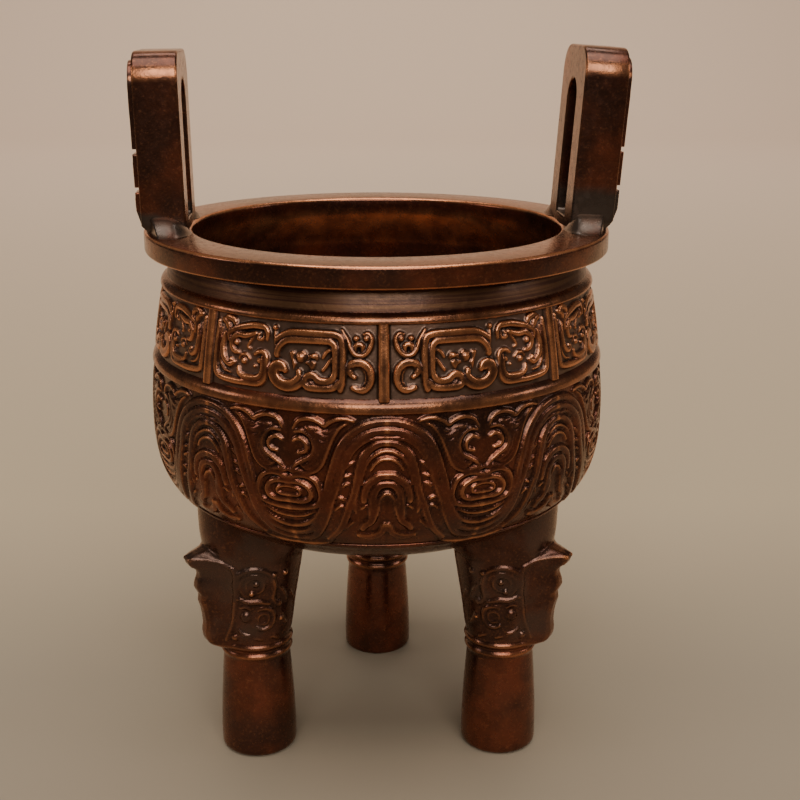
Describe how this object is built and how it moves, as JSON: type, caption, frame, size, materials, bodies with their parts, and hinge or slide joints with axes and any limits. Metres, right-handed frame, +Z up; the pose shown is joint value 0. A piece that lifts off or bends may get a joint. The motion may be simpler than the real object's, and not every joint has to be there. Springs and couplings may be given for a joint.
{
  "type": "bronze ding vessel",
  "caption": "Small cast copper-coloured ding: a round carved bowl with a flat rim on three round legs, with two upright loop ears on the rim.",
  "frame": {"origin": "on the ground, under the axis of the bowl", "axes": "+Z up along the bowl's axis; the front, between the two front legs, faces -Y; the ears stand on the rim at +X and -X"},
  "size_m": [0.074, 0.0712, 0.11],
  "materials": {
    "patinated_copper": "satin"
  },
  "bodies": {
    "root": {"ding_vessel": "patinated_copper"}
  },
  "joints": []
}
